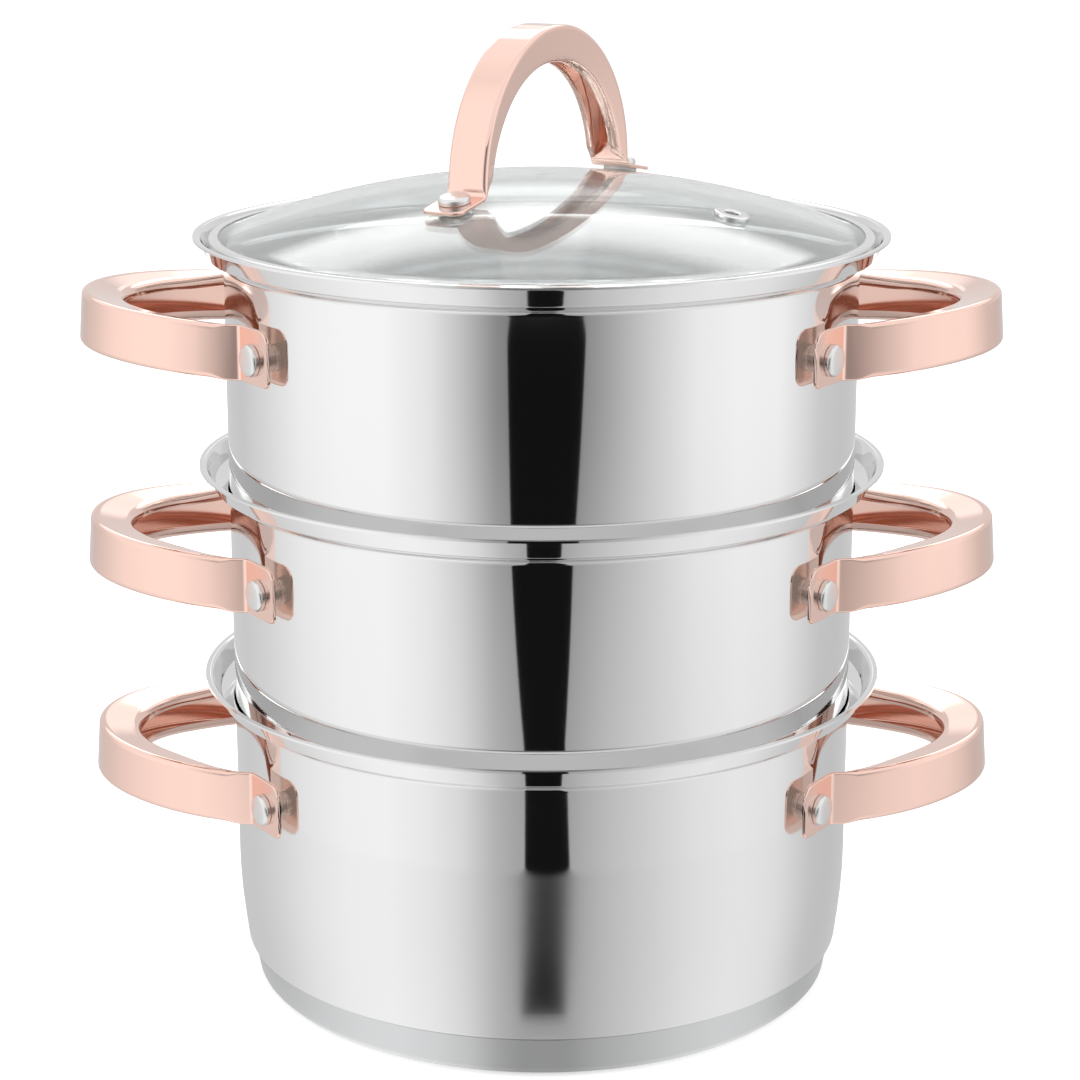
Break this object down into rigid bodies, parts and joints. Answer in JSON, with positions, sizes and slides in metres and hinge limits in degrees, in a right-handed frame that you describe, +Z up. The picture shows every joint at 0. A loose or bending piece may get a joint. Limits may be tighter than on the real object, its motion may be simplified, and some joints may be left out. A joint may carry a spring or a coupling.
{
  "type": "steamer pot",
  "caption": "Two-tier steamer pot: deep pot with two stacking perforated steamers, riveted loop handles and a domed glass lid.",
  "frame": {"origin": "centre of the flat underside of the pot, on the pot's axis", "axes": "+Z up along the pot's axis; the side handles point along +X and -X; +Y away from the picture's camera"},
  "size_m": [0.3508, 0.2624, 0.3721],
  "materials": {
    "polished_steel": "mirror polished, satin low on the pot wall",
    "base_steel": "satin, turned",
    "core_aluminium": "plain",
    "handle_copper": "polished rose gold coating",
    "rivet_steel": "polished",
    "spacer_steel": "satin",
    "trim_steel": "polished",
    "lid_glass": "clear tempered",
    "gasket": "matte translucent silicone"
  },
  "bodies": {
    "pot": {"pot_shell": "polished_steel", "pot_core_disc": "core_aluminium", "pot_base_capsule": "base_steel", "pot_handle_left": "handle_copper", "pot_handle_right": "handle_copper", "pot_spacers_left": "spacer_steel", "pot_spacers_right": "spacer_steel", "pot_rivets_left": "rivet_steel", "pot_rivets_right": "rivet_steel"},
    "lower_steamer": {"lower_steamer_shell": "polished_steel", "lower_steamer_handle_left": "handle_copper", "lower_steamer_handle_right": "handle_copper", "lower_steamer_spacers_left": "spacer_steel", "lower_steamer_spacers_right": "spacer_steel", "lower_steamer_rivets_left": "rivet_steel", "lower_steamer_rivets_right": "rivet_steel"},
    "upper_steamer": {"upper_steamer_shell": "polished_steel", "upper_steamer_handle_left": "handle_copper", "upper_steamer_handle_right": "handle_copper", "upper_steamer_spacers_left": "spacer_steel", "upper_steamer_spacers_right": "spacer_steel", "upper_steamer_rivets_left": "rivet_steel", "upper_steamer_rivets_right": "rivet_steel"},
    "lid": {"lid_glass": "lid_glass", "lid_rim_band": "trim_steel", "lid_vent_eyelet": "trim_steel", "lid_handle": "handle_copper", "lid_gaskets": "gasket", "lid_washers": "trim_steel", "lid_rivets": "rivet_steel"}
  },
  "joints": [
    {"name": "lower_steamer_lift", "type": "slide", "parent": "pot", "child": "lower_steamer", "axis": [0, 0, 1], "range_m": [0, 0.12]},
    {"name": "upper_steamer_lift", "type": "slide", "parent": "lower_steamer", "child": "upper_steamer", "axis": [0, 0, 1], "range_m": [0, 0.12]},
    {"name": "lid_lift", "type": "slide", "parent": "upper_steamer", "child": "lid", "axis": [0, 0, 1], "range_m": [0, 0.12]}
  ]
}
